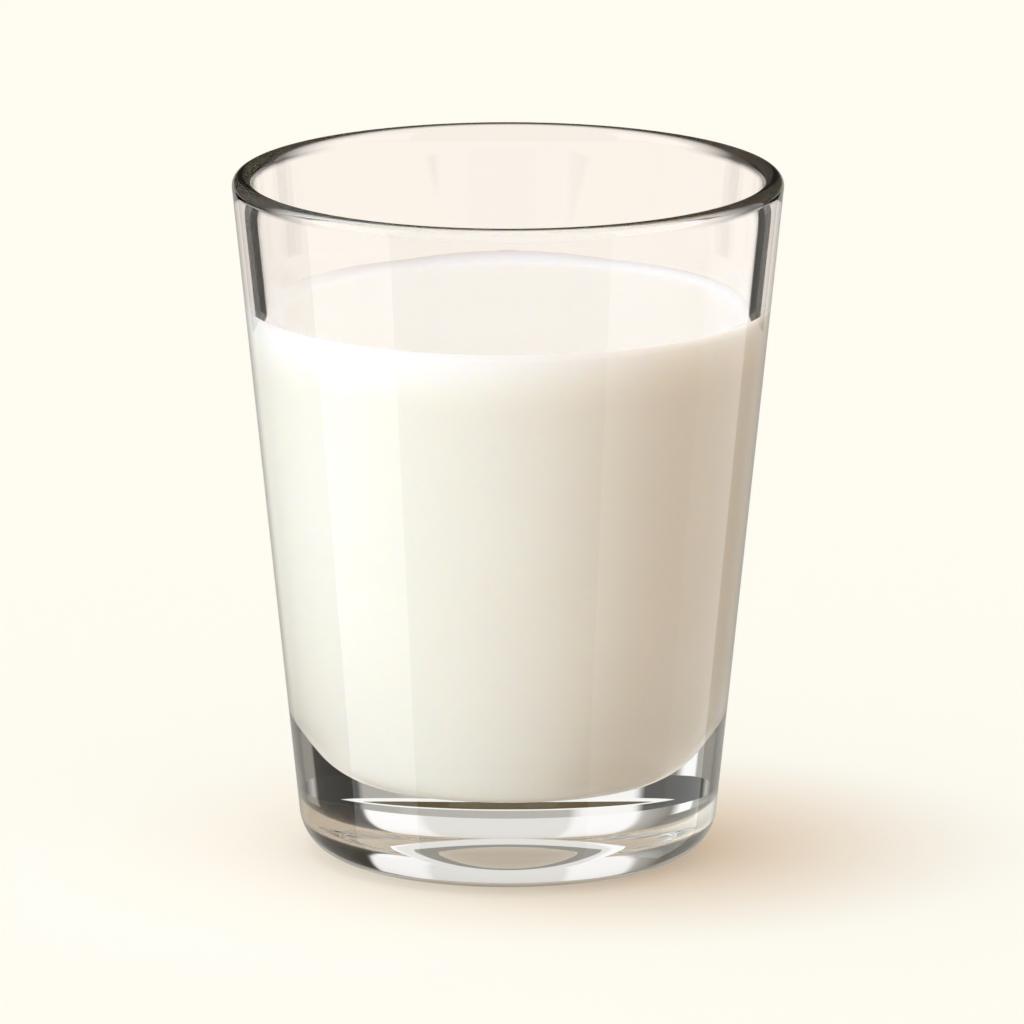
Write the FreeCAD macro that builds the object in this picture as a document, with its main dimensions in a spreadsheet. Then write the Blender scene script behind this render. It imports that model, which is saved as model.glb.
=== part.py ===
"""A tapered drinking tumbler with a heavy base, filled with milk.

The tumbler is one piece of glass: a bearing ring with a shallow hollow under it, a rounded heel, a
straight tapering wall, a full-round rim, and a cavity whose wall thickens into a rounded bottom. The
milk is one solid that fills the cavity up to its level and climbs the wall a little in a meniscus.
Both are revolved about +Z. The origin is the centre of the base on the surface that the tumbler
stands on, and lengths are in millimetres.
"""

import os

import FreeCAD
import Part
import Sketcher

# alias, value in millimetres, what it sets
DIMENSIONS = (
    ("height", 102.7, "from the table to the top of the rim"),
    ("mouth_diameter", 82.3, "outer cone where it would meet the rim's top plane"),
    ("foot_diameter", 60.9, "outer cone where it would meet the table"),
    ("wall", 3.05, "wall thickness, square to the wall, and the rim's diameter"),
    ("heel_radius", 7.2, "rounding from the bearing ring into the wall"),
    ("punt_diameter", 37.0, "hollow under the base, across its edge"),
    ("punt_depth", 5.0, "hollow under the base, at its centre"),
    ("base_thickness", 12.3, "from the table to the cavity floor"),
    ("floor_diameter", 22.6, "flat middle of the cavity floor"),
    ("floor_radius", 8.6, "rounding from the cavity floor into the belly"),
    ("belly_radius", 78.0, "long curve from that rounding into the straight wall"),
    ("headroom", 20.3, "from the milk's level to the top of the rim"),
    ("meniscus_radius", 2.6, "curve of the milk's edge"),
    ("meniscus_rise", 1.0, "how far the milk's edge climbs the wall"),
)

START, END, CENTRE = 1, 2, 3  # Sketcher's numbers for a curve's points
AXES = -1  # Sketcher's horizontal axis, whose point 1 is the origin
UPRIGHT_AXIS = -2


def make_sheet(document):
    """Makes the spreadsheet of driving dimensions."""
    sheet = document.addObject("Spreadsheet::Sheet", "Dimensions")
    for row, (alias, value, meaning) in enumerate(DIMENSIONS, start=1):
        sheet.set(f"A{row}", alias)
        sheet.set(f"B{row}", str(value))
        sheet.set(f"C{row}", meaning)
        sheet.setAlias(f"B{row}", alias)
    document.recompute()
    return sheet


class Section:
    """A half section through the axis of revolution: x is the radius and y the height."""

    def __init__(self, body, name):
        self.sketch = body.newObject("Sketcher::SketchObject", name)
        plane = next(f for f in body.Origin.OriginFeatures if f.Role == "XZ_Plane")
        self.sketch.AttachmentSupport = [(plane, "")]
        self.sketch.MapMode = "FlatFace"

    def line(self, start, end, construction=False):
        """Adds a straight edge between two points and returns its number."""
        segment = Part.LineSegment(FreeCAD.Vector(*start), FreeCAD.Vector(*end))
        return self.sketch.addGeometry(segment, construction)

    def arc(self, start, middle, end):
        """Adds an arc through three points and returns its number."""
        points = (FreeCAD.Vector(*p) for p in (start, middle, end))
        return self.sketch.addGeometry(Part.Arc(*points), False)

    def hold(self, kind, *where):
        """Adds a geometric constraint."""
        self.sketch.addConstraint(Sketcher.Constraint(kind, *where))

    def size(self, kind, *where, rule):
        """Adds a dimension that follows an expression on the sheet."""
        number = self.sketch.addConstraint(Sketcher.Constraint(kind, *where))
        self.sketch.setExpression(f"Constraints[{number}]", rule)

    def end_of(self, curve, near):
        """Which end of a curve lies at a point. An arc keeps its own sense, so it may be either."""
        at_start = self.sketch.getPoint(curve, START).distanceToPoint(FreeCAD.Vector(*near))
        at_end = self.sketch.getPoint(curve, END).distanceToPoint(FreeCAD.Vector(*near))
        return START if at_start < at_end else END

    def smooth(self, first, second, near):
        """Joins two curves end to end, in one tangent, at a point."""
        self.hold("Tangent", first, self.end_of(first, near), second, self.end_of(second, near))

    def join(self, first, second, near):
        """Joins two curves end to end at a point."""
        self.hold("Coincident", first, self.end_of(first, near), second, self.end_of(second, near))


class Profile:
    """First positions of the section's points, from the sheet. The sketches' constraints then own them."""

    def __init__(self, sheet):
        self.height = sheet.height
        self.wall = sheet.wall
        self.foot = FreeCAD.Vector(sheet.foot_diameter / 2, 0)
        self.mouth = FreeCAD.Vector(sheet.mouth_diameter / 2, sheet.height)
        self.along = (self.mouth - self.foot).normalize()
        self.inward = FreeCAD.Vector(-self.along.y, self.along.x)
        self.place_cavity(sheet)

    def at_height(self, depth, height):
        """The point at a height on the line that lies a depth inside the outer cone."""
        start = self.foot + self.inward * depth
        return start + self.along * ((height - start.y) / self.along.y)

    def place_cavity(self, sheet):
        """Finds the floor arc's and the belly arc's centres and where they touch their neighbours."""
        floor = sheet.base_thickness
        self.floor_edge = FreeCAD.Vector(sheet.floor_diameter / 2, floor)
        self.floor_centre = self.floor_edge + FreeCAD.Vector(0, sheet.floor_radius)
        # The belly's centre is on a line inside the wall, and its arc wraps the floor arc.
        line = self.at_height(self.wall + sheet.belly_radius, floor)
        reach = sheet.belly_radius - sheet.floor_radius
        offset = line - self.floor_centre
        along = -offset.dot(self.along)
        across = offset.Length**2 - along**2
        travel = along + (reach**2 - across) ** 0.5
        self.belly_centre = line + self.along * travel
        self.belly_top = self.belly_centre - self.inward * sheet.belly_radius
        outward = (self.floor_centre - self.belly_centre).normalize()
        self.belly_foot = self.floor_centre + outward * sheet.floor_radius

    @staticmethod
    def between(centre, start, end):
        """The middle of the shorter arc about a centre from start to end."""
        ways = ((start - centre).normalize(), (end - centre).normalize())
        return centre + (ways[0] + ways[1]).normalize() * (start - centre).Length


def add_cavity(section, profile, top):
    """Adds the cavity's floor, floor arc, belly arc and straight wall up to top, held to the sheet's sizes.

    Returns the numbers of the outer cone's guide line, the wall and the floor.
    """
    middle = FreeCAD.Vector(0, profile.floor_edge.y)
    cone = section.line(profile.foot, profile.mouth, construction=True)
    wall = section.line(top, profile.belly_top)
    belly_middle = profile.between(profile.belly_centre, profile.belly_top, profile.belly_foot)
    belly = section.arc(profile.belly_top, belly_middle, profile.belly_foot)
    bend_middle = profile.between(profile.floor_centre, profile.belly_foot, profile.floor_edge)
    bend = section.arc(profile.belly_foot, bend_middle, profile.floor_edge)
    floor = section.line(profile.floor_edge, middle)

    section.hold("PointOnObject", cone, START, AXES)
    section.size("DistanceX", AXES, 1, cone, START, profile.foot.x, rule="Dimensions.foot_diameter / 2")
    section.size("DistanceX", AXES, 1, cone, END, profile.mouth.x, rule="Dimensions.mouth_diameter / 2")
    section.size("DistanceY", AXES, 1, cone, END, profile.height, rule="Dimensions.height")

    section.hold("Parallel", cone, wall)
    section.size("Distance", wall, START, cone, profile.wall, rule="Dimensions.wall")
    section.smooth(wall, belly, profile.belly_top)
    section.smooth(belly, bend, profile.belly_foot)
    section.smooth(bend, floor, profile.floor_edge)
    section.hold("Horizontal", floor)
    section.hold("PointOnObject", floor, END, UPRIGHT_AXIS)
    belly_radius = (profile.belly_top - profile.belly_centre).Length
    bend_radius = (profile.floor_edge - profile.floor_centre).Length
    section.size("Radius", belly, belly_radius, rule="Dimensions.belly_radius")
    section.size("Radius", bend, bend_radius, rule="Dimensions.floor_radius")
    floor_edge = profile.floor_edge
    section.size("DistanceX", AXES, 1, floor, START, floor_edge.x, rule="Dimensions.floor_diameter / 2")
    section.size("DistanceY", AXES, 1, floor, START, floor_edge.y, rule="Dimensions.base_thickness")
    return cone, wall, floor


def revolve(body, section):
    """Turns a half section about the upright axis into the body's solid."""
    feature = body.newObject("PartDesign::Revolution", section.sketch.Name + "Revolved")
    feature.Profile = section.sketch
    feature.ReferenceAxis = (section.sketch, ["V_Axis"])
    feature.Angle = 360
    section.sketch.Visibility = False
    return feature


def make_tumbler(document, sheet, profile):
    """Makes the glass as one revolved section: bearing ring, heel, wall, rim, cavity and punt."""
    body = document.addObject("PartDesign::Body", "Tumbler")
    body.Label = "tumbler"
    section = Section(body, "TumblerSection")

    rim_radius = sheet.wall / 2
    rim_centre = profile.at_height(rim_radius, sheet.height - rim_radius)
    rim_outside = rim_centre - profile.inward * rim_radius
    rim_inside = rim_centre + profile.inward * rim_radius
    rim_top = rim_centre + profile.along * rim_radius
    heel_centre = profile.at_height(sheet.heel_radius, sheet.heel_radius)
    heel_bottom = FreeCAD.Vector(heel_centre.x, 0)
    heel_side = heel_centre - profile.inward * sheet.heel_radius
    punt_edge = FreeCAD.Vector(sheet.punt_diameter / 2, 0)
    punt_top = FreeCAD.Vector(0, sheet.punt_depth)
    punt_curve = (punt_edge.x**2 + sheet.punt_depth**2) / (2 * sheet.punt_depth)
    punt_centre = FreeCAD.Vector(0, sheet.punt_depth - punt_curve)

    cone, inner_wall, floor = add_cavity(section, profile, rim_inside)
    rim = section.arc(rim_outside, rim_top, rim_inside)
    outer_wall = section.line(heel_side, rim_outside)
    heel = section.arc(heel_bottom, profile.between(heel_centre, heel_bottom, heel_side), heel_side)
    bearing_ring = section.line(punt_edge, heel_bottom)
    punt = section.arc(punt_edge, profile.between(punt_centre, punt_edge, punt_top), punt_top)
    axis = section.line((0, sheet.base_thickness), punt_top)

    section.smooth(inner_wall, rim, rim_inside)
    section.smooth(rim, outer_wall, rim_outside)
    section.smooth(outer_wall, heel, heel_side)
    section.smooth(heel, bearing_ring, heel_bottom)
    section.join(bearing_ring, punt, punt_edge)
    section.join(punt, axis, punt_top)
    section.join(axis, floor, (0, sheet.base_thickness))
    section.hold("PointOnObject", outer_wall, START, cone)
    section.hold("PointOnObject", outer_wall, END, cone)
    section.hold("PointOnObject", bearing_ring, START, AXES)
    section.hold("PointOnObject", bearing_ring, END, AXES)
    section.hold("PointOnObject", punt, section.end_of(punt, punt_top), UPRIGHT_AXIS)
    section.hold("PointOnObject", punt, CENTRE, UPRIGHT_AXIS)
    rim_height = "Dimensions.height - Dimensions.wall / 2"
    section.size("DistanceY", AXES, 1, rim, CENTRE, rim_centre.y, rule=rim_height)
    section.size("Radius", heel, sheet.heel_radius, rule="Dimensions.heel_radius")
    punt_radius = "Dimensions.punt_diameter / 2"
    section.size("DistanceX", AXES, 1, bearing_ring, START, punt_edge.x, rule=punt_radius)
    section.size("DistanceY", AXES, 1, axis, END, sheet.punt_depth, rule="Dimensions.punt_depth")
    revolve(body, section)
    return body


def make_milk(document, sheet, profile):
    """Makes the milk: the cavity up to its level, with a meniscus round its edge."""
    body = document.addObject("PartDesign::Body", "Milk")
    body.Label = "milk"
    section = Section(body, "MilkSection")

    level = sheet.height - sheet.headroom
    contact = profile.at_height(sheet.wall, level + sheet.meniscus_rise)
    climb = sheet.meniscus_radius - sheet.meniscus_rise
    reach = (sheet.meniscus_radius**2 - climb**2) ** 0.5
    surface_edge = FreeCAD.Vector(contact.x - reach, level)
    meniscus_centre = surface_edge + FreeCAD.Vector(0, sheet.meniscus_radius)
    surface_middle = FreeCAD.Vector(0, level)

    cone, wall, floor = add_cavity(section, profile, contact)
    meniscus = section.arc(surface_edge, profile.between(meniscus_centre, surface_edge, contact), contact)
    surface = section.line(surface_middle, surface_edge)
    axis = section.line((0, sheet.base_thickness), surface_middle)

    section.join(wall, meniscus, contact)
    section.smooth(meniscus, surface, surface_edge)
    section.hold("Horizontal", surface)
    section.join(surface, axis, surface_middle)
    section.join(axis, floor, (0, sheet.base_thickness))
    section.hold("PointOnObject", surface, START, UPRIGHT_AXIS)
    rise = "Dimensions.height - Dimensions.headroom"
    section.size("DistanceY", AXES, 1, surface, START, level, rule=rise)
    section.size("DistanceY", AXES, 1, wall, START, contact.y, rule=rise + " + Dimensions.meniscus_rise")
    section.size("Radius", meniscus, sheet.meniscus_radius, rule="Dimensions.meniscus_radius")
    revolve(body, section)
    return body


def check(document, bodies):
    """Stops the script if anything in the document failed or a piece isn't one sound solid."""
    for item in document.Objects:
        if {"Invalid", "Error"} & set(item.State):
            raise RuntimeError(f"{item.Label} failed: {item.State}")
        if item.isDerivedFrom("Sketcher::SketchObject") and not item.FullyConstrained:
            raise RuntimeError(f"{item.Label} has free points")
    for body in bodies:
        shape = body.Shape
        if shape.isNull() or not shape.isValid() or len(shape.Solids) != 1 or shape.Volume <= 0:
            raise RuntimeError(f"{body.Label} isn't one sound solid")


def main():
    """Builds the document and writes one STEP file for each piece."""
    document = FreeCAD.newDocument("GlassOfMilk")
    sheet = make_sheet(document)
    profile = Profile(sheet)
    bodies = [make_tumbler(document, sheet, profile), make_milk(document, sheet, profile)]
    document.recompute()
    check(document, bodies)
    os.makedirs("parts", exist_ok=True)
    for body in bodies:
        box = body.Shape.BoundBox
        print(
            f"{body.Label}: {body.Shape.Volume / 1000:.1f} ml,"
            f" {box.XLength:.2f} x {box.YLength:.2f} x {box.ZLength:.2f} mm"
        )
        body.Shape.exportStep(os.path.join("parts", body.Label + ".step"))


main()
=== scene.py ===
"""A glass of milk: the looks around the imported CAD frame.

The tumbler and the milk are both bodies of revolution. Each is drawn as a half profile from named sizes and
turned about the upright axis by one Geometry Nodes tree, fine enough for clear glass to bend light smoothly.
The rest of the file is their finishes and the studio. Clear glass shows only what stands round it, so the
studio is most of its look: a cream table, soft light, softboxes that shine in its outer gloss, two black
flags that darken the sides of its wall, and light and dark panels that show through its thick base. Some of
these are on the backdrop and some on a low fence on the table. All lengths are in metres and the origin is
the centre of the tumbler's base on the table.
"""

import logging
import math
from collections.abc import Iterable, Mapping
from dataclasses import dataclass, field
from enum import Enum
from typing import Any

import bmesh
import bpy
import numpy as np
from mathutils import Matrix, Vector

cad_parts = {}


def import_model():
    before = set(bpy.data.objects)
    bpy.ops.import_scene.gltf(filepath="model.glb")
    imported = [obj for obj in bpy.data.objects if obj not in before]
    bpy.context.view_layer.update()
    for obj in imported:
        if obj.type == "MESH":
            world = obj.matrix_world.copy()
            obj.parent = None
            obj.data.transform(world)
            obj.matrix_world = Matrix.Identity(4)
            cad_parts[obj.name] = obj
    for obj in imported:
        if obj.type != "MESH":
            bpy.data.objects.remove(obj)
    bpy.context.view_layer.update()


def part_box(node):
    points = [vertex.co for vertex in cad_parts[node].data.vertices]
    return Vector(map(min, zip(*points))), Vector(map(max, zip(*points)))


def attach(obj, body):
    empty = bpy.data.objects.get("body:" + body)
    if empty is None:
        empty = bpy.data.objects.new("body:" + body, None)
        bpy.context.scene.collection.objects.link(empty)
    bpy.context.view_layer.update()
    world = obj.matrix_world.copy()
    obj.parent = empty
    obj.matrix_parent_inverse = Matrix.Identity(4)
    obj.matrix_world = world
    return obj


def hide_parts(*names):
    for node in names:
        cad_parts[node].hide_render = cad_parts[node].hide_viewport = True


LOG = logging.getLogger("glass_of_milk")

BODY = "root"
MM = 0.001
HALF_TURN = 180.0
SIZE_TOLERANCE = 0.1 * MM

Colour = tuple[float, float, float]
Point = tuple[float, float]
Span = tuple[float, float]
Stops = tuple[tuple[float, float], ...]

# A warm grey's green and blue are its brightness times a share, and a gain that grows with the brightness.
GREEN_OF_GREY = (0.93, 0.06)
BLUE_OF_GREY = (0.78, 0.20)


class Part(Enum):
    """The CAD nodes that this scene dresses."""

    TUMBLER = "tumbler"
    MILK = "milk"


class Slot(Enum):
    """The record's material slots."""

    GLASS = "clear_glass"
    MILK = "milk"


class Piece(Enum):
    """The pieces that this scene makes."""

    GLASS = "tumbler_glass"
    MILK = "milk_fill"


# --------------------------------------------------------------------------------------------------
# Shader and geometry trees
# --------------------------------------------------------------------------------------------------


class Wire:
    """A number that changes over a surface or a mesh. Its operators add Math nodes to its tree."""

    def __init__(self, graph: "Graph", socket: bpy.types.NodeSocket) -> None:
        """Wraps a socket of a graph."""
        self.graph = graph
        self.socket = socket

    def _math(self, operation: str, *values: "Wire | float") -> "Wire":
        """Adds a Math node.

        Args:
            operation: the Math node's operation.
            values: its inputs, in order.

        Returns:
            The node's result.
        """
        return self.graph.add("ShaderNodeMath", {"operation": operation}, dict(enumerate(values))).out(0)

    def __add__(self, other: "Wire | float") -> "Wire":
        """Sum."""
        return self._math("ADD", self, other)

    def __radd__(self, other: float) -> "Wire":
        """Sum with a plain number on the left."""
        return self._math("ADD", other, self)

    def __sub__(self, other: "Wire | float") -> "Wire":
        """Difference."""
        return self._math("SUBTRACT", self, other)

    def __rsub__(self, other: float) -> "Wire":
        """Difference from a plain number."""
        return self._math("SUBTRACT", other, self)

    def __mul__(self, other: "Wire | float") -> "Wire":
        """Product."""
        return self._math("MULTIPLY", self, other)

    def __rmul__(self, other: float) -> "Wire":
        """Product with a plain number on the left."""
        return self._math("MULTIPLY", other, self)

    def __truediv__(self, other: "Wire | float") -> "Wire":
        """Quotient."""
        return self._math("DIVIDE", self, other)

    def __mod__(self, other: "Wire | float") -> "Wire":
        """Remainder."""
        return self._math("MODULO", self, other)

    def __gt__(self, other: "Wire | float") -> "Wire":
        """One where this is the greater, else nought."""
        return self._math("GREATER_THAN", self, other)

    def floor(self) -> "Wire":
        """The whole number at or below this one."""
        return self._math("FLOOR", self)

    def at_least(self, other: "Wire | float") -> "Wire":
        """The greater of two numbers."""
        return self._math("MAXIMUM", self, other)

    def size(self) -> "Wire":
        """This number without its sign."""
        return self._math("ABSOLUTE", self)

    def bearing(self, forward: "Wire") -> "Wire":
        """The angle, in radians, of a step of this to the right and another forward."""
        return self._math("ARCTAN2", self, forward)

    def rise(self, low: float, high: float) -> "Wire":
        """Nought below low, one above high, and a smooth step between.

        Args:
            low: where the step starts.
            high: where the step ends.

        Returns:
            The step's height.
        """
        settings = {"interpolation_type": "SMOOTHSTEP"}
        values = {"Value": self, "From Min": low, "From Max": high}
        return self.graph.add("ShaderNodeMapRange", settings, values).out("Result")


class Node:
    """A node of a graph, and its outputs as wires."""

    def __init__(self, graph: "Graph", node: bpy.types.Node) -> None:
        """Wraps a node."""
        self.graph = graph
        self.node = node

    def out(self, name: str | int) -> Wire:
        """The output with a name or a number."""
        return Wire(self.graph, self.node.outputs[name])


class Graph:
    """A node tree that is built one node at a time."""

    def __init__(self, tree: bpy.types.NodeTree) -> None:
        """Empties a tree and wraps it."""
        self.tree = tree
        tree.nodes.clear()

    def add(
        self,
        kind: str,
        settings: Mapping[str, Any] | None = None,
        values: Mapping[str | int, Any] | None = None,
    ) -> Node:
        """Adds a node.

        Args:
            kind: the node's type.
            settings: its own settings. A ramp's stops come as a list of (place, colour).
            values: for each input, a wire to link or a plain value to set.

        Returns:
            The node.
        """
        node = self.tree.nodes.new(kind)
        for name, value in (settings or {}).items():
            if name == "stops":
                self._set_stops(node.color_ramp, value)
            else:
                setattr(node, name, value)
        for name, value in (values or {}).items():
            if isinstance(value, Wire):
                self.tree.links.new(value.socket, node.inputs[name])
            else:
                node.inputs[name].default_value = value
        return Node(self, node)

    @staticmethod
    def _set_stops(ramp: bpy.types.ColorRamp, stops: list[tuple[float, Colour]]) -> None:
        """Sets a colour ramp's stops."""
        while len(ramp.elements) > 1:
            ramp.elements.remove(ramp.elements[0])
        for index, (place, colour) in enumerate(stops):
            stop = ramp.elements[0] if index == 0 else ramp.elements.new(place)
            stop.position, stop.color = place, (*colour, 1.0)

    def object_point(self) -> Wire:
        """The place on the piece, in the row frame."""
        return self.add("ShaderNodeTexCoord").out("Object")

    def split(self, vector: Wire) -> tuple[Wire, Wire, Wire]:
        """A vector's three parts."""
        parts = self.add("ShaderNodeSeparateXYZ", values={0: vector})
        return parts.out("X"), parts.out("Y"), parts.out("Z")

    def length(self, vector: Wire) -> Wire:
        """A vector's length."""
        return self.add("ShaderNodeVectorMath", {"operation": "LENGTH"}, {0: vector}).out("Value")

    def radius(self, point: Wire) -> Wire:
        """How far a point lies from the upright axis."""
        flat = self.add("ShaderNodeVectorMath", {"operation": "MULTIPLY"}, {0: point, 1: (1, 1, 0)})
        return self.length(flat.out("Vector"))

    def noise(self, point: Wire, scale: float, detail: float = 2.0, stretch: Colour = (1, 1, 1)) -> Wire:
        """Smooth noise over a point.

        Args:
            point: the coordinates.
            scale: how many features to a metre.
            detail: how many finer octaves.
            stretch: how much the coordinates are multiplied along each axis.

        Returns:
            The noise, from nought to one.
        """
        placed = self.add("ShaderNodeVectorMath", {"operation": "MULTIPLY"}, {0: point, 1: stretch})
        values = {"Vector": placed.out("Vector"), "Scale": scale, "Detail": detail}
        return self.add("ShaderNodeTexNoise", {"noise_dimensions": "3D"}, values).out("Fac")

    def mix_colours(self, factor: Wire | float, first: Wire | Colour, second: Wire | Colour) -> Wire:
        """A colour between two.

        Args:
            factor: nought for the first, one for the second.
            first: a wire or a plain colour.
            second: a wire or a plain colour.

        Returns:
            The mixed colour.
        """
        settings = {"data_type": "RGBA", "blend_type": "MIX"}
        ends = [c if isinstance(c, Wire) else (*c, 1.0) for c in (first, second)]
        node = self.add("ShaderNodeMix", settings, {"Factor": factor, 6: ends[0], 7: ends[1]})
        return node.out(2)

    def round_the_glass(self, point: Wire, stops: list[tuple[float, Colour]]) -> Wire:
        """A colour that changes round the upright axis, the same before it as behind it.

        Args:
            point: a place or a direction.
            stops: the colours at their azimuths, in degrees from straight behind towards +X.

        Returns:
            The colour.
        """
        right, back, _ = self.split(point)
        share = right.bearing(back.size()) / math.pi + 0.5
        placed = [(azimuth / HALF_TURN + 0.5, colour) for azimuth, colour in stops]
        return self.add("ShaderNodeValToRGB", {"stops": placed}, {0: share}).out(0)

    def bump(self, height: Wire, distance: float, strength: float = 1.0) -> Wire:
        """A normal that follows a height.

        Args:
            height: the height, from nought to one.
            distance: what one stands for, in metres.
            strength: the share of the bump that is used.

        Returns:
            The normal.
        """
        values = {"Height": height, "Distance": distance, "Strength": strength}
        return self.add("ShaderNodeBump", values=values).out("Normal")


def new_material(name: str) -> tuple[bpy.types.Material, Graph]:
    """Makes an empty material.

    Args:
        name: its name.

    Returns:
        The material and its graph.
    """
    material = bpy.data.materials.new(name)
    material.use_nodes = True
    return material, Graph(material.node_tree)


# --------------------------------------------------------------------------------------------------
# Finishes
# --------------------------------------------------------------------------------------------------


@dataclass(frozen=True)
class ClearGlass:
    """Fire-polished soda-lime glass with the faint ripple of a pressed tumbler, a scuffed bearing ring and
    painted shade.

    Each step is where a tint starts and where it is full. Those of the painted edge shade and the painted rim
    line are shares of how far the glass is seen edge on, and the others are heights.
    """

    name: str = "clear_glass"
    index: float = 1.5
    tint: Colour = (0.992, 0.995, 0.990)
    painted_edge_shade: Colour = (0.10, 0.09, 0.07)
    painted_edge_shade_step: Span = (0.76, 0.96)
    painted_rim_line: Colour = (0.012, 0.011, 0.009)
    painted_rim_line_step: Span = (0.22, 0.50)
    rim_start: float = 2.2 * MM
    rim_full: float = 1.3 * MM
    painted_foot_shadow: Colour = (0.26, 0.21, 0.14)
    painted_foot_shadow_step: Span = (0.4 * MM, 1.4 * MM)
    shade: Colour = (0.975, 0.975, 0.975)
    base_shade: float = 0.2
    base_shade_step: Span = (2.0 * MM, 12.0 * MM)
    worn_tint: Colour = (0.93, 0.93, 0.915)
    wear_height: float = 0.35 * MM
    wear_roughness: float = 0.10
    scuffs_to_a_metre: float = 2600.0
    scuff_step: Span = (0.45, 0.70)
    ripple: float = 0.004 * MM
    ripples_to_a_metre: float = 34.0
    ripple_stretch: Colour = (1, 1, 0.45)

    def material(self, top: float) -> bpy.types.Material:
        """Makes the material.

        Painted shade: the glass is tinted dark where it is seen edge on, with a near-black painted line along
        the crest of the rim, and a brownish painted shadow darkens the bottom of the heel. Light that only
        passes through to something else takes the glass as a thin neutral tint, so that the milk and the
        table are lit through it without noise. The thick base holds some of it back.

        Args:
            top: the height of the rim.

        Returns:
            The material.
        """
        material, graph = new_material(self.name)
        point = graph.object_point()
        _, _, height = graph.split(point)
        scuff = graph.noise(point, self.scuffs_to_a_metre, detail=4.0).rise(*self.scuff_step)
        worn = (1 - height.rise(0.0, self.wear_height)) * scuff
        facing = graph.add("ShaderNodeLayerWeight", values={"Blend": 0.5}).out("Facing")
        on_rim = height.rise(top - self.rim_start, top - self.rim_full)
        # Painted shade: darker where the glass is seen edge on, and a near-black painted line along the rim's
        # crest.
        clear = graph.mix_colours(facing.rise(*self.painted_edge_shade_step), self.tint, self.painted_edge_shade)
        clear = graph.mix_colours(facing.rise(*self.painted_rim_line_step) * on_rim, clear, self.painted_rim_line)
        # Painted shadow: the lowest millimetre or so of the heel is tinted dark brown where it meets the
        # table.
        clear = graph.mix_colours(1 - height.rise(*self.painted_foot_shadow_step), clear, self.painted_foot_shadow)
        ripples = graph.noise(point, self.ripples_to_a_metre, stretch=self.ripple_stretch)
        glass = graph.add(
            "ShaderNodeBsdfPrincipled",
            values={
                "Base Color": graph.mix_colours(worn, clear, self.worn_tint),
                "Roughness": worn * self.wear_roughness,
                "IOR": self.index,
                "Transmission Weight": 1.0,
                "Normal": graph.bump(ripples, self.ripple),
            },
        )
        passing = graph.add("ShaderNodeBsdfTransparent", values={"Color": (*self.shade, 1.0)})
        rays = graph.add("ShaderNodeLightPath")
        indirect = rays.out("Is Shadow Ray").at_least(rays.out("Is Diffuse Ray"))
        indirect = indirect * (1 - self.base_shade * (1 - height.rise(*self.base_shade_step)))
        both = graph.add("ShaderNodeMixShader", values={0: indirect, 1: glass.out(0), 2: passing.out(0)})
        graph.add("ShaderNodeOutputMaterial", values={"Surface": both.out(0)})
        return material


@dataclass(frozen=True)
class WholeMilk:
    """Milk: scattering, slightly warm, painted lighter near its surface, with a painted highlight against the
    wall.
    """

    name: str = "whole_milk"
    cream: Colour = (0.875, 0.850, 0.775)
    white: Colour = (0.965, 0.960, 0.930)
    painted_meniscus_highlight: Colour = (1.0, 0.998, 0.985)
    depth: Colour = (1.0, 0.80, 0.55)
    reach: float = 5.0 * MM
    scatter: float = 0.85
    index: float = 1.35
    roughness: float = 0.12
    gloss: float = 0.5
    skin: Span = (0.4 * MM, 0.05 * MM)
    edge_start: float = 5.5 * MM
    painted_light_depth: float = 9.0 * MM
    painted_top_light: float = 0.45
    painted_light_white: float = 0.85
    cloud_white: float = 0.12
    cloud_roughness: float = 0.06
    clouds_to_a_metre: float = 60.0
    swell: float = 0.02 * MM
    swells_to_a_metre: float = 90.0

    def material(self, edge_radius: float, level: float) -> bpy.types.Material:
        """Makes the material.

        Args:
            edge_radius: the radius of the surface where it meets the wall.
            level: the height of the surface.

        Returns:
            The material.
        """
        material, graph = new_material(self.name)
        point = graph.object_point()
        _, _, height = graph.split(point)
        on_top = height.rise(level - self.skin[0], level - self.skin[1])
        ring = graph.radius(point).rise(edge_radius - self.edge_start, edge_radius)
        cloud = graph.noise(point, self.clouds_to_a_metre, detail=3.0)
        # Painted light: whiter in the top few millimetres under the surface and on the surface itself; the
        # clouds are the milk's own uneven tone.
        glow = height.rise(level - self.painted_light_depth, level) * (1 - on_top)
        whiteness = cloud * self.cloud_white + glow * self.painted_light_white + on_top * self.painted_top_light
        colour = graph.mix_colours(whiteness, self.cream, self.white)
        # Painted highlight: a white ring on the milk's surface where it meets the wall.
        colour = graph.mix_colours(ring * on_top, colour, self.painted_meniscus_highlight)
        milk = graph.add(
            "ShaderNodeBsdfPrincipled",
            {"subsurface_method": "RANDOM_WALK"},
            {
                "Base Color": colour,
                "Subsurface Weight": self.scatter,
                "Subsurface Radius": self.depth,
                "Subsurface Scale": self.reach,
                "Roughness": self.roughness + self.cloud_roughness * cloud,
                "IOR": self.index,
                "Specular IOR Level": self.gloss,
                "Normal": graph.bump(graph.noise(point, self.swells_to_a_metre), self.swell),
            },
        )
        graph.add("ShaderNodeOutputMaterial", values={"Surface": milk.out(0)})
        return material


# --------------------------------------------------------------------------------------------------
# Turning a profile
# --------------------------------------------------------------------------------------------------


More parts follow.
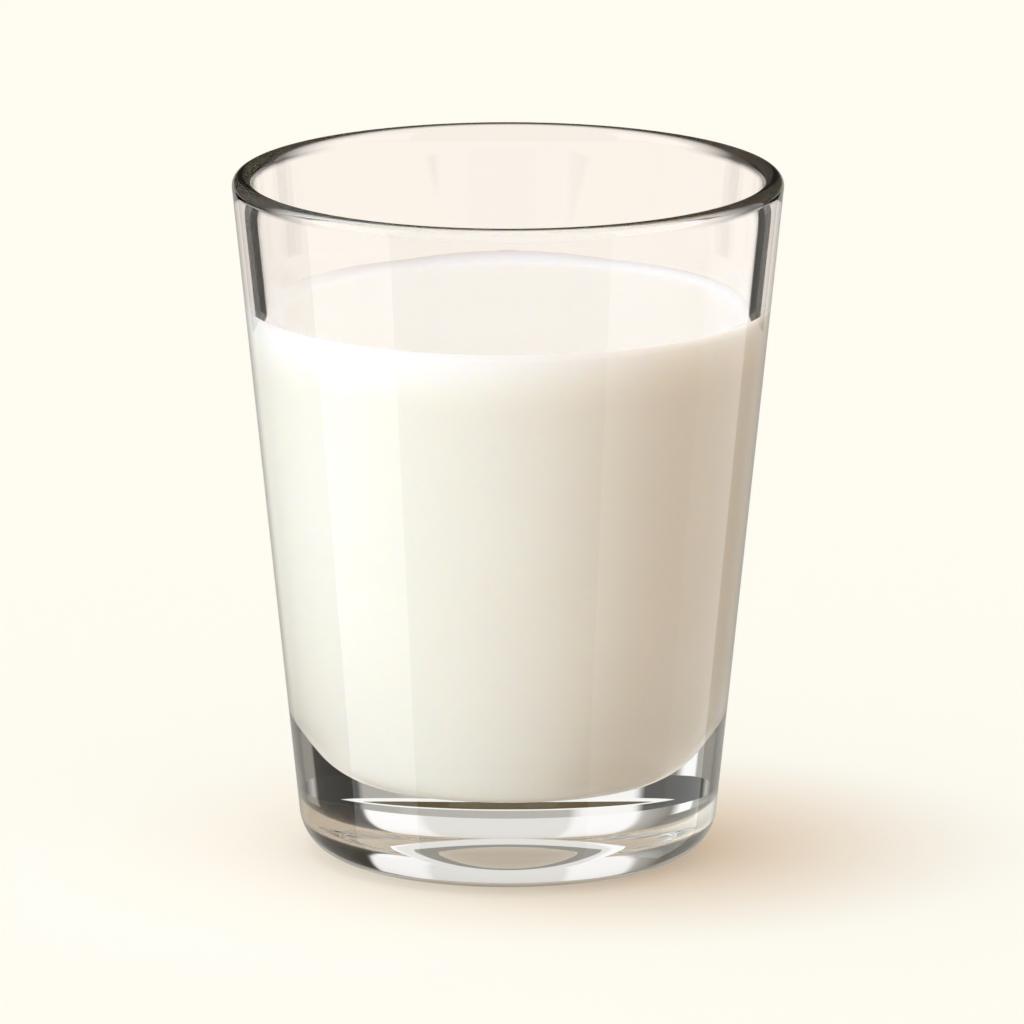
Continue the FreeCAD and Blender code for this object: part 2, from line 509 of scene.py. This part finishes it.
class Profile:
    """A half section as a row of (radius, height) points, laid down in order."""

    def __init__(self, start: Point) -> None:
        """Starts a profile at a point."""
        self.points: list[np.ndarray] = [np.array(start, float)]

    def line(self, end: Iterable[float], steps: int = 1) -> "Profile":
        """Goes straight to a point, in equal steps."""
        start, end = self.points[-1], np.array(tuple(end), float)
        self.points += [start + (end - start) * (i + 1) / steps for i in range(steps)]
        return self

    def arc(self, centre: Iterable[float], end: Iterable[float], steps: int) -> "Profile":
        """Goes round a centre to a point, the shorter way."""
        centre, end = np.array(tuple(centre), float), np.array(tuple(end), float)
        first, last = self.points[-1] - centre, end - centre
        turn = math.atan2(first[0] * last[1] - first[1] * last[0], float(first @ last))
        for i in range(1, steps + 1):
            cos, sin = math.cos(turn * i / steps), math.sin(turn * i / steps)
            swung = [cos * first[0] - sin * first[1], sin * first[0] + cos * first[1]]
            self.points.append(centre + np.array(swung))
        return self


class Lathe:
    """Turns half profiles about the upright axis with one Geometry Nodes tree."""

    SEGMENTS = "Segments"
    JOIN = "Join Distance"
    CREASE = "Crease Angle"
    FINISH = "Finish"
    JOIN_DISTANCE = 0.0005 * MM
    CREASE_ANGLE = math.radians(25)

    def __init__(self) -> None:
        """Builds the tree."""
        self.tree = bpy.data.node_groups.new("turned_profile", "GeometryNodeTree")
        graph = Graph(self.tree)
        face = self.tree.interface
        face.new_socket("Profile", in_out="INPUT", socket_type="NodeSocketGeometry")
        face.new_socket(self.SEGMENTS, in_out="INPUT", socket_type="NodeSocketInt")
        face.new_socket(self.JOIN, in_out="INPUT", socket_type="NodeSocketFloat")
        face.new_socket(self.CREASE, in_out="INPUT", socket_type="NodeSocketFloat")
        face.new_socket(self.FINISH, in_out="INPUT", socket_type="NodeSocketMaterial")
        face.new_socket("Mesh", in_out="OUTPUT", socket_type="NodeSocketGeometry")
        given = graph.add("NodeGroupInput")
        count = graph.add("GeometryNodeAttributeDomainSize", {"component": "MESH"}, {0: given.out(0)})
        rows = count.out("Point Count")
        segments = given.out(self.SEGMENTS)
        grid = graph.add(
            "GeometryNodeMeshGrid", values={"Vertices X": segments + 1.0, "Vertices Y": rows}
        )
        number = graph.add("GeometryNodeInputIndex").out(0)
        where = graph.add("GeometryNodeInputPosition").out(0)
        on_profile = graph.add(
            "GeometryNodeSampleIndex",
            {"data_type": "FLOAT_VECTOR", "domain": "POINT"},
            {"Geometry": given.out(0), "Value": where, "Index": number % rows},
        )
        turn = (number / rows).floor() / segments * math.tau
        turned = graph.add(
            "ShaderNodeVectorRotate",
            {"rotation_type": "Z_AXIS"},
            {"Vector": on_profile.out(0), "Angle": turn},
        )
        shaped = graph.add(
            "GeometryNodeSetPosition", values={"Geometry": grid.out("Mesh"), "Position": turned.out(0)}
        )
        joined = graph.add(
            "GeometryNodeMergeByDistance",
            values={"Geometry": shaped.out(0), "Distance": given.out(self.JOIN)},
        )
        smooth = graph.add(
            "GeometryNodeSetShadeSmooth",
            {"domain": "FACE"},
            {"Geometry": joined.out(0), "Shade Smooth": True},
        )
        angle = graph.add("GeometryNodeInputMeshEdgeAngle").out("Unsigned Angle")
        creased = graph.add(
            "GeometryNodeSetShadeSmooth",
            {"domain": "EDGE"},
            {"Geometry": smooth.out(0), "Selection": angle > given.out(self.CREASE), "Shade Smooth": False},
        )
        real = graph.add("GeometryNodeRealizeInstances", values={0: creased.out(0)})
        dressed = graph.add(
            "GeometryNodeSetMaterial", values={"Geometry": real.out(0), "Material": given.out(self.FINISH)}
        )
        graph.add("NodeGroupOutput", values={0: dressed.out(0)})

    def turn(
        self, name: str, profile: Profile, finish: bpy.types.Material, segments: int
    ) -> bpy.types.Object:
        """Turns a profile into a plain mesh.

        Args:
            name: the piece's name.
            profile: the half section, from the axis back to the axis.
            finish: its material.
            segments: how many steps make a full turn.

        Returns:
            The piece, at the origin, with its modifier applied.
        """
        mesh = bpy.data.meshes.new(name + "_profile")
        mesh.from_pydata([(float(r), 0.0, float(z)) for r, z in profile.points], [], [])
        piece = bpy.data.objects.new(name, mesh)
        bpy.context.scene.collection.objects.link(piece)
        modifier = piece.modifiers.new("turn", "NODES")
        modifier.node_group = self.tree
        values = {
            self.SEGMENTS: segments,
            self.JOIN: self.JOIN_DISTANCE,
            self.CREASE: self.CREASE_ANGLE,
            self.FINISH: finish,
        }
        for socket in self.tree.interface.items_tree:
            if socket.in_out == "INPUT" and socket.name in values:
                modifier[socket.identifier] = values[socket.name]
        bpy.context.view_layer.update()
        evaluated = piece.evaluated_get(bpy.context.evaluated_depsgraph_get())
        result = bpy.data.meshes.new_from_object(evaluated)
        piece.modifiers.remove(modifier)
        piece.data = result
        result.name = name
        bpy.data.meshes.remove(mesh)
        self._face_outwards(result)
        return piece

    @staticmethod
    def _face_outwards(mesh: bpy.types.Mesh) -> None:
        """Makes every face of a closed mesh point outwards."""
        shell = bmesh.new()
        shell.from_mesh(mesh)
        bmesh.ops.recalc_face_normals(shell, faces=shell.faces)
        if shell.calc_volume(signed=True) < 0:
            bmesh.ops.reverse_faces(shell, faces=shell.faces)
        open_edges = sum(not edge.is_manifold for edge in shell.edges)
        shell.to_mesh(mesh)
        shell.free()
        LOG.info("%s: %d faces, %d open edges", mesh.name, len(mesh.polygons), open_edges)


# --------------------------------------------------------------------------------------------------
# The two pieces
# --------------------------------------------------------------------------------------------------


@dataclass
class Section:
    """The sizes of the tumbler and the milk, the same as the CAD's, and the points that follow from them."""

    height: float = 102.7 * MM
    mouth_radius: float = 41.15 * MM
    foot_radius: float = 30.45 * MM
    wall: float = 3.05 * MM
    heel_radius: float = 7.2 * MM
    punt_radius: float = 18.5 * MM
    punt_depth: float = 5.0 * MM
    base_thickness: float = 12.3 * MM
    floor_radius: float = 11.3 * MM
    bend_radius: float = 8.6 * MM
    belly_radius: float = 78.0 * MM
    headroom: float = 20.3 * MM
    meniscus_radius: float = 2.6 * MM
    meniscus_rise: float = 1.0 * MM
    wall_steps: int = 24
    belly_steps: int = 40
    bend_steps: int = 26
    floor_steps: int = 8

    def __post_init__(self) -> None:
        """Works out the directions along and into the wall, and the cavity's arcs."""
        self.foot = np.array([self.foot_radius, 0.0])
        cone = np.array([self.mouth_radius - self.foot_radius, self.height])
        self.along = cone / np.linalg.norm(cone)
        self.inward = np.array([-self.along[1], self.along[0]])
        self.level = self.height - self.headroom

    def at_height(self, depth: float, height: float) -> np.ndarray:
        """The point at a height on the line that lies a depth inside the outer cone."""
        start = self.foot + self.inward * depth
        return start + self.along * ((height - start[1]) / self.along[1])

    def add_cavity(self, profile: Profile, swell: float) -> Profile:
        """Adds the cavity from where its straight wall starts down to the middle of its floor.

        Args:
            profile: a profile that has come down the straight wall.
            swell: how far the surface is moved into the glass.

        Returns:
            The same profile.
        """
        floor_edge = np.array([self.floor_radius, self.base_thickness])
        bend_centre = floor_edge + np.array([0.0, self.bend_radius])
        line = self.at_height(self.wall + self.belly_radius, self.base_thickness)
        offset = line - bend_centre
        back = float(offset @ self.along)
        apart = self.belly_radius - self.bend_radius
        travel = -back + math.sqrt(apart**2 - float(offset @ offset) + back**2)
        belly_centre = line + self.along * travel
        belly_top = belly_centre - self.inward * (self.belly_radius + swell)
        outward = (bend_centre - belly_centre) / np.linalg.norm(bend_centre - belly_centre)
        belly_foot = bend_centre + outward * (self.bend_radius + swell)
        profile.line(belly_top, self.wall_steps)
        profile.arc(belly_centre, belly_foot, self.belly_steps)
        profile.arc(bend_centre, floor_edge - np.array([0.0, swell]), self.bend_steps)
        return profile.line((0.0, self.base_thickness - swell), self.floor_steps)


@dataclass
class Tumbler:
    """The glass: bearing ring, heel, tapering wall, full-round rim, rounded cavity and shallow punt."""

    section: Section
    finish: ClearGlass = field(default_factory=ClearGlass)
    segments: int = 360
    punt_steps: int = 16
    ring_steps: int = 3
    heel_steps: int = 26
    side_steps: int = 30
    rim_steps: int = 16

    def build(self, lathe: Lathe) -> bpy.types.Object:
        """Turns the glass.

        Args:
            lathe: what turns it.

        Returns:
            The piece.
        """
        s = self.section
        rim_radius = s.wall / 2
        rim = s.at_height(rim_radius, s.height - rim_radius)
        heel = s.at_height(s.heel_radius, s.heel_radius)
        curve = (s.punt_radius**2 + s.punt_depth**2) / (2 * s.punt_depth)
        profile = Profile((0.0, s.punt_depth))
        profile.arc((0.0, s.punt_depth - curve), (s.punt_radius, 0.0), self.punt_steps)
        profile.line((heel[0], 0.0), self.ring_steps)
        profile.arc(heel, heel - s.inward * s.heel_radius, self.heel_steps)
        profile.line(rim - s.inward * rim_radius, self.side_steps)
        profile.arc(rim, rim + s.along * rim_radius, self.rim_steps)
        profile.arc(rim, rim + s.inward * rim_radius, self.rim_steps)
        s.add_cavity(profile, 0.0)
        piece = lathe.turn(Piece.GLASS.value, profile, self.finish.material(s.height), self.segments)
        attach(piece, BODY)
        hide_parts(Part.TUMBLER.value)
        return piece


@dataclass
class Milk:
    """The milk: it fills the cavity to its level, reaches just into the wall and climbs it in a meniscus."""

    section: Section
    finish: WholeMilk = field(default_factory=WholeMilk)
    into_wall: float = 0.12 * MM
    segments: int = 360
    surface_steps: int = 24
    meniscus_steps: int = 14

    def build(self, lathe: Lathe) -> bpy.types.Object:
        """Turns the milk.

        Args:
            lathe: what turns it.

        Returns:
            The piece.
        """
        s = self.section
        contact = s.at_height(s.wall, s.level + s.meniscus_rise)
        climb = s.meniscus_radius - s.meniscus_rise
        reach = math.sqrt(s.meniscus_radius**2 - climb**2)
        surface_edge = np.array([contact[0] - reach, s.level])
        profile = Profile((0.0, s.level))
        profile.line(surface_edge, self.surface_steps)
        profile.arc(surface_edge + np.array([0.0, s.meniscus_radius]), contact, self.meniscus_steps)
        profile.line(s.at_height(s.wall - self.into_wall, contact[1]))
        s.add_cavity(profile, self.into_wall)
        material = self.finish.material(float(contact[0]), s.level)
        piece = lathe.turn(Piece.MILK.value, profile, material, self.segments)
        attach(piece, BODY)
        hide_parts(Part.MILK.value)
        return piece


# --------------------------------------------------------------------------------------------------
# The studio
# --------------------------------------------------------------------------------------------------


def warm_grey(value: float) -> Colour:
    """A grey that turns brownish as it darkens."""
    green, blue = (value * (share + gain * value) for share, gain in (GREEN_OF_GREY, BLUE_OF_GREY))
    return value, green, blue


def only_through_glass(stage: bpy.types.Object) -> None:
    """Hides a piece of the studio from everything but light that has been bent by the glass."""
    stage.visible_camera = False
    stage.visible_diffuse = False
    stage.visible_glossy = False
    stage.visible_shadow = False


@dataclass(frozen=True)
class Card:
    """A flat upright card that is seen only in the glass: a softbox in its outer gloss, or a black flag.

    The azimuth is in degrees from straight behind the glass towards +X.
    """

    name: str
    azimuth: float
    distance: float
    width: float
    low: float
    high: float
    colour: Colour
    light: float
    through_glass: bool

    def build(self) -> bpy.types.Object:
        """Stands the card so that it faces the glass.

        Returns:
            The card.
        """
        way = math.radians(self.azimuth)
        out = Vector((math.sin(way), math.cos(way), 0.0))
        side = Vector((math.cos(way), -math.sin(way), 0.0)) * (self.width / 2)
        foot = out * self.distance
        up = Vector((0.0, 0.0, 1.0))
        corners = [
            foot - side + up * self.low,
            foot + side + up * self.low,
            foot + side + up * self.high,
            foot - side + up * self.high,
        ]
        mesh = bpy.data.meshes.new(self.name)
        mesh.from_pydata([tuple(c) for c in corners], [], [(0, 1, 2, 3)])
        card = bpy.data.objects.new(self.name, mesh)
        bpy.context.scene.collection.objects.link(card)
        material, graph = new_material(self.name)
        glow = graph.add("ShaderNodeEmission", values={"Color": (*self.colour, 1.0), "Strength": self.light})
        graph.add("ShaderNodeOutputMaterial", values={"Surface": glow.out(0)})
        mesh.materials.append(material)
        card.visible_camera = False
        card.visible_diffuse = False
        card.visible_shadow = False
        card.visible_transmission = self.through_glass
        return card


@dataclass(frozen=True)
class Sun:
    """A soft, distant light. It may light only some of the pieces.

    The azimuth is in degrees from straight before the glass towards +X, and the height is in degrees too.
    """

    name: str
    azimuth: float
    height: float
    spread: float
    colour: Colour
    only: tuple[str, ...] = ()
    distance: float = 2.0

    def build(self) -> bpy.types.Object:
        """Hangs the light.

        Returns:
            The light.
        """
        strength = max(self.colour)
        lamp = bpy.data.lights.new(self.name, "SUN")
        lamp.energy = strength * math.pi
        lamp.color = [c / strength for c in self.colour]
        lamp.angle = math.radians(self.spread)
        light = bpy.data.objects.new(self.name, lamp)
        bpy.context.scene.collection.objects.link(light)
        azimuth, height = math.radians(self.azimuth), math.radians(self.height)
        flat = math.cos(height)
        towards = Vector((math.sin(azimuth) * flat, -math.cos(azimuth) * flat, math.sin(height)))
        light.rotation_euler = towards.to_track_quat("Z", "Y").to_euler()
        light.location = towards * self.distance
        light.visible_glossy = False
        light.visible_transmission = False
        if self.only:
            lit = bpy.data.collections.new(self.name + "_lights")
            for name in self.only:
                lit.objects.link(bpy.data.objects[name])
            light.light_linking.receiver_collection = lit
        return light


@dataclass(frozen=True)
class Fence:
    """A low strip on the table round the glass, seen only through its base: what lies just behind it.

    Its lowest band is a painted contact shadow, dark at the table, with a thin white line above that. Over
    them come three rings of light and dark panels, from the near one up. Their stops are brightnesses at
    azimuths in degrees from straight behind towards +X.
    """

    radius: float = 80.0 * MM
    height: float = 46.0 * MM
    near_height: float = 5.0 * MM
    high_height: float = 12.5 * MM
    contact_shadow_height: float = 1.3 * MM
    white_height: float = 1.75 * MM
    segments: int = 128
    dark: Colour = (0.112, 0.083, 0.036)
    white: Colour = (0.98, 0.97, 0.93)
    near: Stops = (
        (-90, 0.7), (-84, 0.7), (-81, 0.12), (-44, 0.12), (-39, 0.6), (-36, 0.03), (-14.5, 0.07),
        (-13, 0.95), (-6, 0.95), (-5, 0.49), (9.5, 0.47), (10.5, 0.4), (16.5, 0.38), (17.5, 0.03),
        (33, 0.03), (36, 0.6), (42, 0.12), (81, 0.12), (84, 0.7), (90, 0.7),
    )
    far: Stops = (
        (-90, 0.85), (-84, 0.85), (-81, 0.14), (-44, 0.14), (-41, 0.3), (-31, 0.3), (-30, 1), (-25, 1),
        (-22, 0.16), (-15, 0.45), (-13.5, 1), (-5.7, 1), (-5, 0.8), (7.2, 0.8), (8, 1), (16, 1), (17, 0.02),
        (33, 0.02), (34.5, 0.3), (41, 0.3), (44, 0.14), (81, 0.14), (84, 0.85), (90, 0.85),
    )
    high: Stops = (
        (-90, 0.85), (-84, 0.85), (-81, 0.12), (-22, 0.12), (-15, 0.45), (-13.5, 1), (-5.7, 1), (-5, 0.8),
        (7.2, 0.8), (8, 1), (16, 1), (17, 0.02), (33, 0.02), (44, 0.12), (81, 0.12), (84, 0.85), (90, 0.85),
    )

    def build(self) -> bpy.types.Object:
        """Stands the strip on the table.

        Returns:
            The strip.
        """
        shell = bmesh.new()
        sizes = {"radius1": self.radius, "radius2": self.radius, "depth": self.height}
        bmesh.ops.create_cone(shell, cap_ends=False, segments=self.segments, **sizes)
        bmesh.ops.translate(shell, vec=(0.0, 0.0, self.height / 2), verts=shell.verts)
        mesh = bpy.data.meshes.new("fence")
        shell.to_mesh(mesh)
        shell.free()
        fence = bpy.data.objects.new("fence", mesh)
        bpy.context.scene.collection.objects.link(fence)
        material, graph = new_material("fence")
        point = graph.object_point()
        _, _, height = graph.split(point)
        near, far, high = (
            graph.round_the_glass(point, [(azimuth, warm_grey(v)) for azimuth, v in stops])
            for stops in (self.near, self.far, self.high)
        )
        shown = graph.mix_colours(height > self.near_height, near, far)
        shown = graph.mix_colours(height > self.high_height, shown, high)
        shown = graph.mix_colours(height > self.white_height, self.white, shown)
        # Painted contact shadow: the lowest band of the strip is dark brown, and it shows through the base.
        shown = graph.mix_colours(height > self.contact_shadow_height, self.dark, shown)
        glow = graph.add("ShaderNodeEmission", values={"Color": shown})
        graph.add("ShaderNodeOutputMaterial", values={"Surface": glow.out(0)})
        mesh.materials.append(material)
        only_through_glass(fence)
        return fence


@dataclass
class Studio:
    """A cream table and backdrop, soft light from the upper left, and cards and panels for the glass.

    Each step of the world is where its colour starts to change and where it has changed, as the height of a
    direction, or for what is behind as its backward part.
    """

    backdrop: Colour = (1.0, 0.973, 0.877)
    table: Colour = (0.893, 0.921, 0.872)
    table_radius: float = 30.0
    table_segments: int = 96
    table_roughness: float = 0.9
    table_through_glass: Colour = (0.985, 0.905, 0.830)
    grain_to_a_metre: float = 90.0
    grain_share: float = 0.06
    grain_shade: float = 0.96
    painted_shadow_tint: Colour = (1.005, 0.948, 0.905)
    painted_shadow_step: Span = (32.0 * MM, 75.0 * MM)
    fill_above: Colour = (0.874, 0.705, 0.585)
    fill_below: Colour = (0.24, 0.20, 0.12)
    fill_deep: Colour = (1.0, 0.90, 0.80)
    fill_step: Span = (-0.05, 0.05)
    deep_step: Span = (-0.65, -0.55)
    mirrored: Colour = (0.34, 0.33, 0.30)
    mirrored_low: Colour = (0.12, 0.10, 0.07)
    mirrored_high: Colour = (0.04, 0.038, 0.033)
    mirrored_behind: Colour = (0.56, 0.545, 0.51)
    low_step: Span = (-0.75, -0.55)
    high_step: Span = (-0.08, 0.05)
    behind_step: Span = (0.74, 0.92)
    panels: Stops = (
        (-90, 0.8), (-83, 0.8), (-80, 0.3), (-66, 0.3), (-61, 1), (-43, 1), (-39, 0.18), (-29, 0.45),
        (-27, 1), (-13.5, 1), (-12, 0.8), (16.5, 0.8), (18, 1), (31.5, 1), (33, 0.03), (52, 0.03), (55, 1),
        (63, 1), (67, 0.3), (80, 0.3), (83, 0.8), (90, 0.8),
    )
    above_panels: Colour = (0.30, 0.29, 0.26)
    above_step: Span = (0.40, 0.52)
    softbox_white: Colour = (0.97, 0.99, 1.0)
    softbox_distance: float = 1.6
    softbox_span: Span = (-1.6, 1.8)
    flag_black: Colour = (0.02, 0.018, 0.014)
    flag_azimuth: float = 43.2
    flag_distance: float = 0.184
    flag_width: float = 0.050
    flag_span: Span = (0.036, 0.085)
    flag_light: float = 0.6

    def build(self) -> None:
        """Lays the table and sets up the light."""
        self._table()
        self._world()
        Fence().build()
        Sun("key", azimuth=-82.0, height=78.0, spread=36.0, colour=(0.26, 0.36, 0.44)).build()
        milk = (Piece.MILK.value,)
        Sun("side_key", azimuth=-50.0, height=2.0, spread=24.0, colour=(0.52, 0.65, 0.75), only=milk).build()
        for card in (
            self._softbox("softbox_left", azimuth=-107.0, width=1.26, light=1.5),
            self._softbox("softbox_right", azimuth=109.5, width=1.526, light=1.05),
            self._softbox("softbox_behind", azimuth=66.5, width=1.009, light=1.3),
            self._flag("flag_left", -self.flag_azimuth),
            self._flag("flag_right", self.flag_azimuth),
        ):
            card.build()
        scene = bpy.context.scene
        scene.view_settings.view_transform = "Standard"
        scene.cycles.max_bounces = 24
        scene.cycles.transmission_bounces = 20
        scene.cycles.glossy_bounces = 12
        scene.cycles.transparent_max_bounces = 16
        scene.cycles.caustics_reflective = False
        scene.cycles.caustics_refractive = False

    def _softbox(self, name: str, azimuth: float, width: float, light: float) -> Card:
        """Makes a tall softbox that shows only in the outer gloss.

        Args:
            name: its name.
            azimuth: where it stands, in degrees.
            width: its width.
            light: its brightness.

        Returns:
            The card.
        """
        low, high = self.softbox_span
        return Card(
            name=name,
            azimuth=azimuth,
            distance=self.softbox_distance,
            width=width,
            low=low,
            high=high,
            colour=self.softbox_white,
            light=light,
            through_glass=False,
        )

    def _flag(self, name: str, azimuth: float) -> Card:
        """Makes a black flag that stands close behind the glass and darkens one side of its wall.

        Args:
            name: its name.
            azimuth: where it stands, in degrees.

        Returns:
            The card.
        """
        low, high = self.flag_span
        return Card(
            name=name,
            azimuth=azimuth,
            distance=self.flag_distance,
            width=self.flag_width,
            low=low,
            high=high,
            colour=self.flag_black,
            light=self.flag_light,
            through_glass=True,
        )

    def _table(self) -> None:
        """Makes the table, a wide round matt top with a warmer, browner painted shadow just round the glass.
        """
        shell = bmesh.new()
        bmesh.ops.create_circle(shell, cap_ends=True, radius=self.table_radius, segments=self.table_segments)
        mesh = bpy.data.meshes.new("table")
        shell.to_mesh(mesh)
        shell.free()
        table = bpy.data.objects.new("table", mesh)
        bpy.context.scene.collection.objects.link(table)
        material, graph = new_material("table_paper")
        point = graph.object_point()
        grain = graph.noise(point, self.grain_to_a_metre, detail=3.0)
        shaded = tuple(self.grain_shade * c for c in self.table)
        colour = graph.mix_colours(grain * self.grain_share, self.table, shaded)
        # Painted shadow: the table is tinted warmer and browner within a few centimetres of the glass.
        painted_shadow_colour = tuple(c * w for c, w in zip(self.table, self.painted_shadow_tint))
        colour = graph.mix_colours(1 - graph.radius(point).rise(*self.painted_shadow_step), colour, painted_shadow_colour)
        paper = graph.add(
            "ShaderNodeBsdfPrincipled",
            values={"Base Color": colour, "Roughness": self.table_roughness, "Specular IOR Level": 0.0},
        )
        through = graph.add("ShaderNodeEmission", values={"Color": (*self.table_through_glass, 1.0)})
        bent = graph.add("ShaderNodeLightPath").out("Is Transmission Ray")
        both = graph.add("ShaderNodeMixShader", values={0: bent, 1: paper.out(0), 2: through.out(0)})
        graph.add("ShaderNodeOutputMaterial", values={"Surface": both.out(0)})
        mesh.materials.append(material)
        table.visible_glossy = False
        table.visible_diffuse = False
        table.visible_shadow = False

    def _world(self) -> None:
        """Lights the room: fill on surfaces, cream behind all, and what the glass mirrors and shows."""
        world = bpy.data.worlds.new("studio")
        bpy.context.scene.world = world
        world.use_nodes = True
        graph = Graph(world.node_tree)
        way = graph.add("ShaderNodeTexCoord").out("Generated")
        _, back, height = graph.split(way)
        fill = graph.mix_colours(height.rise(*self.deep_step), self.fill_deep, self.fill_below)
        fill = graph.mix_colours(height.rise(*self.fill_step), fill, self.fill_above)
        panels = graph.round_the_glass(way, [(azimuth, warm_grey(v)) for azimuth, v in self.panels])
        panels = graph.mix_colours(height.rise(*self.above_step), panels, self.above_panels)
        rays = graph.add("ShaderNodeLightPath")
        mirrored = graph.mix_colours(height.rise(*self.low_step), self.mirrored_low, self.mirrored)
        mirrored = graph.mix_colours(back.rise(*self.behind_step), mirrored, self.mirrored_behind)
        mirrored = graph.mix_colours(height.rise(*self.high_step), mirrored, self.mirrored_high)
        shown = graph.mix_colours(rays.out("Is Diffuse Ray"), mirrored, fill)
        shown = graph.mix_colours(rays.out("Is Transmission Ray"), shown, panels)
        shown = graph.mix_colours(rays.out("Is Camera Ray"), shown, self.backdrop)
        room = graph.add("ShaderNodeBackground", values={"Color": shown, "Strength": 1.0})
        graph.add("ShaderNodeOutputWorld", values={"Surface": room.out(0)})


@dataclass
class View:
    """The camera: a long lens a little above the rim's height, aimed at the tumbler's middle."""

    distance: float = 3.0
    elevation: float = 12.505
    lens: float = 708.4
    sensor: float = 36.0
    far: float = 200.0
    aim_right: float = 0.0006
    aim_up: float = 0.00013

    def build(self, height: float) -> None:
        """Sets up the camera.

        Args:
            height: the tumbler's height.
        """
        data = bpy.data.cameras.new("camera")
        data.lens = self.lens
        data.sensor_width = self.sensor
        data.clip_end = self.far
        camera = bpy.data.objects.new("camera", data)
        bpy.context.scene.collection.objects.link(camera)
        tilt = math.radians(self.elevation)
        aim = Vector((self.aim_right, 0.0, height / 2 + self.aim_up))
        camera.location = aim + Vector((0.0, -math.cos(tilt), math.sin(tilt))) * self.distance
        camera.rotation_euler = (aim - camera.location).to_track_quat("-Z", "Y").to_euler()
        bpy.context.scene.camera = camera


def main() -> None:
    """Builds the piece round the frame."""
    logging.basicConfig(level=logging.INFO, format="%(name)s: %(message)s")
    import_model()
    section = Section()
    _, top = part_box(Part.TUMBLER.value)
    if abs(top.z - section.height) > SIZE_TOLERANCE:
        raise ValueError(f"the tumbler's CAD node is {top.z:.4f} m tall, not {section.height:.4f}")
    lathe = Lathe()
    for piece in (Tumbler(section).build(lathe), Milk(section).build(lathe)):
        LOG.info("built %s", piece.name)
    Studio().build()
    View().build(section.height)


if __name__ == "__main__":
    main()
